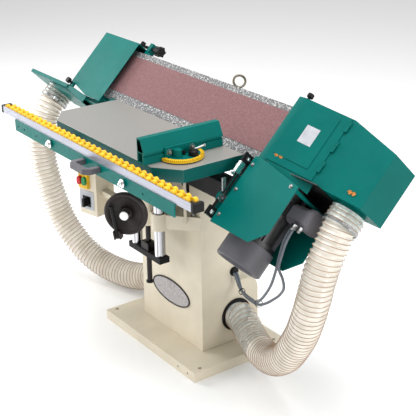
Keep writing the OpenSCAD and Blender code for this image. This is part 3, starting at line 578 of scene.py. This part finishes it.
def rib_height(s, turn):
    """Ribbed film: full radius where the wire runs, sunken between its turns."""
    phase = (s / RIB_PITCH - turn / (2 * math.pi)) % 1.0
    return HOSE_R - WIRE_SUNK - RIB_DEPTH * math.sin(math.pi * phase) ** 1.4


def wire_path(path, radius):
    """The wire's own line, wound round the hose's centre line."""
    rings = frames_along(path)
    line, steps = [], 28
    total = sum((b - a).length for a, b in zip(path, path[1:]))
    along = total / (len(path) - 1)
    for i in range(int(total / RIB_PITCH * steps)):
        s = i * RIB_PITCH / steps
        k = min(int(s / along), len(rings) - 2)
        share = s / along - k
        p = rings[k][0].lerp(rings[k + 1][0], share)
        side = rings[k][1].lerp(rings[k + 1][1], share).normalized()
        up = rings[k][2].lerp(rings[k + 1][2], share).normalized()
        turn = 2 * math.pi * i / steps
        line.append(p + side * (radius * math.cos(turn)) + up * (radius * math.sin(turn)))
    return line


def add_hose(node, route, clear):
    path, length = smooth_path(route, RIB_PITCH / 7)
    sides = 48
    film = sweep(node + "_film", path, rib_height, sides)
    wire = sweep(node + "_wire", wire_path(path, HOSE_R - WIRE_SUNK), 0.0013, 5)
    wire.data.materials.append(MATERIALS["copper_wire"])
    film.data.materials.append(MATERIALS["hose_film"])
    film.data.materials.append(MATERIALS["hose_clear"])
    # the last stretch is clear enough to see through
    first_clear = (len(path) - round(clear / length * len(path))) * sides
    for face in film.data.polygons:
        if first_clear <= face.index < (len(path) - 1) * sides:
            face.material_index = 1
    finish_piece(film, None, "hose_plastic", [node])
    finish_piece(wire, None, "hose_plastic", angle=WIRE_SMOOTH)
    for piece in (film, wire):
        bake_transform(piece)


def add_cable(node, route):
    path, length = smooth_path(route, 0.006)
    cable = sweep(node + "_line", path, CABLE_R, 12)
    finish_piece(cable, None, "cable_jacket", [node])
    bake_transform(cable)


def hose_film():
    n = Nodes("hose_film")
    n.link(n.ramp(n.noise(24, 4), [(0.3, linear(214, 206, 192)), (0.7, linear(236, 231, 220))]),
           n.shader.inputs["Base Color"])
    n.bump(n.noise(160, 3), 0.2, 0.0004)
    n.set(roughness=0.24, coat=0.5, coat_rough=0.08)
    return n.material


MATERIALS["hose_film"] = hose_film()
MATERIALS["hose_clear"] = clear_film("hose_clear", linear(206, 212, 206), 0.5)
MATERIALS["cuff_clear"] = clear_film("cuff_clear", linear(214, 222, 216), 0.42)
MATERIALS["copper_wire"] = plastic("copper_wire", linear(168, 140, 118), 0.35)

add_camera()
add_studio()
add_hose("dust_hose_right", RIGHT_ROUTE, CLEAR_LENGTH)
add_hose("dust_hose_left", LEFT_ROUTE, 0)
add_cable("power_cable", POWER_ROUTE)
add_cable("brake_cable", BRAKE_ROUTE)


# ---- hose ends and cable ties ----

def add_port_sleeve(name, x, y, top):
    """Clear end of a hose over its port, with its wire turns and a clamp."""
    turn = pose(x, y)
    r, length, pitch, steps = 56.8, 54, 13.5, 36
    heights = [top - length * k / steps for k in range(steps + 1)]
    skin = [(r - 1.6 * math.sin(math.pi * (top - z) / pitch) ** 2, z) for z in heights]
    film = Form(HEAD)
    film.turned(skin + [(q - 0.6, z) for q, z in reversed(skin)], turn, 48)
    film.make(name + "_sleeve", "head", "hose_plastic", "cuff_clear")
    wires = Form(HEAD)
    for k in range(1, 4):
        wires.turned([(r + 0.2 + 1.2 * math.cos(a), top - pitch * k + 1.2 * math.sin(a))
                      for a in (0, 1.26, 2.51, 3.77, 5.03)], turn, 48)
    wires.make(name + "_rings", "head", "hose_plastic", "copper_wire", angle=WIRE_SMOOTH)
    clamp = Form(HEAD)
    middle = top - 46
    clamp.turned([(r + 0.1, middle - 4), (r + 1.5, middle - 4), (r + 1.5, middle + 4),
                  (r + 0.1, middle + 4)], turn, 48)
    clamp.block((x + 46, y - 38, middle - 5), (x + 58, y - 24, middle + 5))
    clamp.rod((x + 40, y - 44, middle), (x + 66, y - 26, middle), 3.5, 12)
    clamp.make(name + "_clamp", "head", "zinc_steel")


TIE_POINTS = (7, 10)  # places along POWER_ROUTE


def add_ties():
    """Bands that hold the two cables together."""
    power, _ = smooth_path(POWER_ROUTE, 0.004)
    brake, _ = smooth_path(BRAKE_ROUTE, 0.004)
    for number, point in enumerate(TIE_POINTS):
        target = Vector(POWER_ROUTE[point])
        k = min(range(1, len(power) - 1), key=lambda i: (power[i] - target).length)
        mate = min(brake, key=lambda p: (p - power[k]).length)
        way = power[k + 1] - power[k - 1]
        r = (mate - power[k]).length / MM / 2 + 5.4
        tie = Form()
        tie.turned([(r - 1, -2.2), (r + 0.4, -2.2), (r + 0.4, 2.2), (r - 1, 2.2)],
                   facing((mate + power[k]) / MM / 2, way))
        obj = tie.make("cable_tie_%d" % number, None, "cable_jacket", "black_plastic")
        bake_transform(obj)


# ---- mitre gauge ----

DISC_TOP = 12.3  # above the table's face
SCALE_END = 86  # degrees each way
LOCK_OFFSET = (40, 20)  # from the disc's centre


def add_gauge():
    """The mitre gauge's scale, bolts and lock; the half disc's own box gives its centre."""
    low, high = box_mm("gauge_head")
    pivot = sum(box_mm("gauge_base"), Vector()) / 2
    x, y, top = low[0], pivot[1], TABLE_FACE / MM + DISC_TOP
    r = high[0] - low[0]
    scale, ticks = Form(), Form()
    section = [(r + 0.1, top - 8.5), (r + 0.8, top - 8.5), (r + 0.8, top + 0.3),
               (r - 11, top + 0.5), (r - 11, top + 0.1), (r + 0.1, top + 0.1)]
    steps = 40
    points = [(x + q * math.cos(a), y + q * math.sin(a), z)
              for a in [math.radians(SCALE_END * (2 * k / steps - 1)) for k in range(steps + 1)]
              for q, z in section]
    n = len(section)
    faces = [(k * n + i, k * n + (i + 1) % n, (k + 1) * n + (i + 1) % n, (k + 1) * n + i)
             for k in range(steps) for i in range(n)]
    scale.add(points, faces + [tuple(range(n)), tuple(range(steps * n, steps * n + n))], None)
    scale.make("gauge_scale", "gauge", "yellow_plastic")
    for degrees in range(-80, 81, 5):
        turn = pose(x, y, turn=degrees)
        inner = r - (9 if degrees % 10 == 0 else 4)
        ticks.block((inner, -0.45, top + 0.45), (r + 0.7, 0.45, top + 0.75), turn)
        ticks.block((r + 0.8, -0.45, top - 5), (r + 1.05, 0.45, top + 0.4), turn)
    ticks.make("gauge_ticks", "gauge", "black_plastic")
    bolts = Form()
    for side in (-48, 36):
        bolts.bolt((x + 9, y + side, top + 16), (1, 0, 0), 6.6)
    bolts.rod((x - 6, -64, top + 13), (x - 6, -60.5, top + 13), 4)
    bolts.make("gauge_bolts", "gauge", "zinc_steel")
    kx, ky = x + LOCK_OFFSET[0], y + LOCK_OFFSET[1]
    knob = Form()
    knob.turned([(0, top + 0.3), (15, top + 0.3), (16, top + 3), (16, top + 13),
                 (13, top + 17), (11, top + 18), (11, top + 20), (9, top + 22), (0, top + 22)],
                pose(kx, ky))
    knob.make("gauge_knob", "gauge_lever", "black_plastic", replaces=["gauge_lever"])
    lever = Form()
    end = (kx + 7.7, ky + 36, top + 27.5)
    lever.rod((kx, ky, top + 18.3), end, 3)
    lever.turned([(0, -5), (3, -4), (4.6, 0), (3, 4), (0, 5)], pose(*end))
    lever.make("gauge_lever_arm", "gauge_lever", "black_plastic", "zinc_steel")


# ---- fittings on the head ----

MOTOR = [v / MM for v in HEAD.inverted() @ Vector(JOINTS["drive_drum_spin"]["pos_m"])][:2]
# the housing's sloping front: x along it from the door's left edge, y into the housing
SLOPE = math.atan(83 / 359)
DOOR = HEAD @ Matrix.Translation((0.477, -0.0255, 0)) @ Matrix.Rotation(SLOPE, 4, "Z")
EYE = (97, 25)
GUARD_FACE = -28.5
GUARD_BOLTS = ((449, -6), (449, -97), (449, -188), (640, -20))
LATCHES = ((27, 54), (45, 54), (309, 53), (322, 53))


def add_head_fittings():
    """Lifting eye, guard bolts, plastic knobs, latches and a blank label."""
    eye = Form(HEAD)
    ring_r, wire_r = 20, 4
    eye.turned([(ring_r + wire_r * math.cos(math.pi * k / 6), wire_r * math.sin(math.pi * k / 6))
                for k in range(12)], pose(*EYE, 253, 49) @ pose(0, 0, 0, 90, "X"), 40)
    eye.rod((*EYE, 224), (*EYE, 231), 8)
    bolts = Form(HEAD)
    for x, z in GUARD_BOLTS:
        bolts.bolt((x, GUARD_FACE, z), (0, -1, 0), 4.6)
    bolts.make("guard_bolts", "head", "zinc_steel")
    eye.make("lifting_eye", "head", "zinc_steel", "eye_steel",
             replaces=["head_fasteners"])
    knobs = Form(HEAD)
    knobs.rod((470, -10, 254), (470, -10, 263), 5)
    knobs.turned([(0, 263), (9, 263), (11, 265), (11, 275), (8, 278), (0, 278)],
                 pose(470, -10), 12)
    knobs.rod((-676, -31, 2), (-676, -43, 2), 5)
    knobs.rod((-676, -43, 2), (-676, -57, 2), 11, 12)
    knobs.make("head_knobs", "head", "black_plastic", bevel=0.8)
    latches = Form(DOOR)
    for x, z in LATCHES:
        latches.turned([(0, 0), (7, 0), (7, 2), (5, 4.5), (0, 5)],
                       facing((x, -0.1, z), (0, -1, 0)), 20)
        latches.block((x - 8, -3.2, z - 2), (x + 8, -0.1, z + 2))
    latches.make("housing_latches", "head", "zinc_steel", "copper")
    sheet = Form(DOOR)
    sheet.block((62, -5.25, 119), (112, -5, 179))
    sheet.make("blank_label", "housing_door", "badge_plate", "pale_sheet")


LINK_X = 421  # the tilt linkage's middle, beside the motor guard


def add_tilt_lock():
    """Clamp and linkage beside the motor guard."""
    black, bright, cast = Form(HEAD), Form(HEAD), Form(HEAD)
    black.block((417, -54, -14), (425, -18, 18))
    black.turned([(7, 0), (14, 0), (14, 3), (7, 3)], facing((425, -35, 2), (1, 0, 0)))
    black.block((417, -54, -210), (427, -22, -178))
    for y in (-30, -41):
        black.rod((LINK_X, y, -48), (LINK_X, y, -128), 3.5, 12)
    black.rod((LINK_X, -40, -130), (LINK_X, -40, -184), 5, 12)
    black.make("tilt_linkage", "head", "black_paint", bevel=0.8)
    bright.block((416, -54, -53), (428, -13, -15))
    bright.rod((LINK_X, -48, -60), (LINK_X, -62, -60), 5)
    bright.bolt((425, -35, 2), (1, 0, 0), 6)
    bright.bolt((427, -38, -194), (1, 0, 0), 5)
    bright.make("tilt_clamp", "head", "zinc_steel", "bright_steel", bevel=0.6)
    cast.rod((422, -34, -141), (427, -34, -141), 14, 32)
    cast.bolt((427, -34, -141), (1, 0, 0), 3.6)
    cast.make("tilt_lever_boss", "tilt_lever", "zinc_steel")


FIN_ANGLES = (-34, -26, 26, 34)  # beside the terminal box
LID_AT = (96, -65)  # y and z of the terminal box's middle


def add_motor_fittings():
    """Black sheets of painted shade under the housing, the last fins, and the terminal box with
    its glands.
    """
    # black sheets put where there is only shade, under the housing and beside the motor
    shade_sheets = Form(HEAD)
    shade_sheets.block((472, -2, 20.6), (697, 150, 23.6))
    shade_sheets.block((530, 150, -70), (697, 153, 23.6))
    shade_sheets.make("painted_shade_sheets", "head", "black_paint", "motor_paint")
    fins = Form(HEAD)
    for degrees in FIN_ANGLES:
        fins.block((58, -1.5, -190), (70, 1.5, -4), pose(*MOTOR, turn=degrees))
    fins.make("motor_fins", "head", "motor_paint", "graphite_paint")
    box = Form(HEAD)
    (y, z), half, cut = LID_AT, 35, 14
    flat = half - cut
    outline = [(-half, -flat), (-flat, -half), (flat, -half), (half, -flat), (half, flat),
               (flat, half), (-flat, half), (-half, flat)]
    turn = Matrix(((0, 0, 1, 0), (1, 0, 0, y), (0, 1, 0, z), (0, 0, 0, 1)))
    for size, start, end in ((0.88, 596, 663), (1, 663, 669), (1, 670, 687), (0.93, 687, 690)):
        box.prism([(a * size, b * size) for a, b in outline], start, end, turn)
    for a, b in ((-24, -12), (-24, 12), (24, -12), (24, 12)):
        box.rod((689, y + a, z + b), (690.8, y + a, z + b), 3, 12)
    # lighter grey than the box's paint: painted light on its lit lid
    box.make("terminal_box_lid", "head", "graphite_paint", "lid_painted_light",
             replaces=["terminal_box"], angle=20)
    gland = Form(HEAD)
    for x, gy, r in ((645, 68.5, 12), (672, 68.5, 8)):
        gland.turned([(0, -97), (r, -97), (r, -106), (0, -106)], pose(x, gy), 6)
        gland.turned([(0, -106), (r * 0.85, -106), (r * 0.8, -112), (r * 0.5, -115.5),
                      (0, -115.5)], pose(x, gy))
    gland.make("cable_glands", "head", "graphite_paint", "zinc_steel")


# ---- fittings on the stand, wheel and rail ----

FLANGE_BOLTS = ((-225, 764), (239, 764))
HUB = Vector((0, -180, 616))
HUB_FACE = 244  # along the handwheel's axis from HUB
CONTROL_BOX = pose(-0.333, -0.185, turn=14)


def add_badge():
    """A blank oval plate in a raised rim."""
    low, high = box_mm("badge")
    middle = (low + high) / 2
    a, b = (high[0] - low[0]) / 2, (high[2] - low[2]) / 2
    upright = Matrix(((1, 0, 0, middle[0]), (0, 0, 1, low[1]), (0, 1, 0, middle[2]),
                      (0, 0, 0, 1)))
    steps = 72
    turns = [2 * math.pi * k / steps for k in range(steps)]
    rim = Form()
    points = [(p * math.cos(t), q * math.sin(t), z) for t in turns
              for p, q, z in ((a, b, 3), (a, b, -1), (a - 4, b - 4, -1), (a - 6, b - 6, 0.5))]
    rim.add(points, [(k * 4 + i, (k + 1) % steps * 4 + i, (k + 1) % steps * 4 + (i + 1) % 4,
                      k * 4 + (i + 1) % 4) for k in range(steps) for i in range(4)], upright)
    rim.make("badge_rim", "stand", "badge_plate", "dark_steel", replaces=["badge"])
    plate = Form()
    plate.prism([((a - 5) * math.cos(t), (b - 5) * math.sin(t)) for t in turns], 0.4, 3, upright)
    plate.make("badge_face", "stand", "badge_plate", "mottled_plate")


def add_stand_fittings():
    """Sheets round the selector, the handwheel's cap and the rail's bolts."""
    panel = Form(CONTROL_BOX)
    panel.block((-42.2, -47.15, 445.8), (30.2, -47, 518.2))
    panel.make("selector_panel", "stand", "badge_plate", "pale_sheet")
    ring = Form(CONTROL_BOX)
    ring.block((-27, -47.25, 456), (15, -47.15, 497))
    ring.make("selector_ring", "stand", "black_plastic")
    cap = Form()
    out = Vector(JOINTS["handwheel_spin"]["axis"])
    cap.turned([(0, 0), (14.6, 0), (14.6, 2), (12, 5), (6, 7), (0, 7.6)],
               facing(HUB + out * HUB_FACE, out))
    cap.make("hub_cap", "handwheel", "zinc_steel", "white_cap")
    face = box_mm("rail_flange")[0][1]
    bolts = Form()
    for x, z in FLANGE_BOLTS:
        bolts.bolt((x, face + 2, z), (0, -1, 0), 9.5)
        bolts.rod((x, face, z), (x, face - 12, z), 4)
    bolts.make("flange_bolts", "rail", "zinc_steel", "bright_steel")


add_port_sleeve("right_port", 758, 111, 13)
add_port_sleeve("left_port", -845, 50, -24)
add_ties()
add_gauge()
add_head_fittings()
add_tilt_lock()
add_motor_fittings()
add_badge()
add_stand_fittings()

# CAD nodes whose edges are rounded, with each one's bevel in millimetres
SOFTENED = (("base_plate", 1.6), ("pedestal", 2.0), ("table_top", 1.6),
            ("rail_channel", 0.8), ("rail_rollers", 0.8), ("rail_flange", 0.8),
            ("rail_end_caps", 2.0), ("pull_handle", 3.0), ("idler_cover", 1.2),
            ("end_table", 1.2), ("drive_housing", 1.4), ("housing_door", 1.0),
            ("motor_guards", 1.2), ("gauge_fence", 0.9), ("gauge_head", 1.0),
            ("control_box", 1.6), ("switch_body", 2.4), ("lift_bracket", 2.0),
            ("trunnion_beam", 1.6), ("selector_knob", 1.6), ("start_button", 1.6),
            ("stop_button", 1.6), ("hose_flanges", 1.6), ("tension_knob", 1.2),
            ("motor_cowl", 1.0), ("motor_body", 0.8), ("head_frame", 1.0),
            ("tilt_lever", 1.0))
for node, width in SOFTENED:
    soften(node, width)

# ---- CAD nodes that only need their material ----

for node, obj in frame["nodes"].items():
    obj.data.materials.clear()
    obj.data.materials.append(MATERIALS[SLOT_OF[node]])
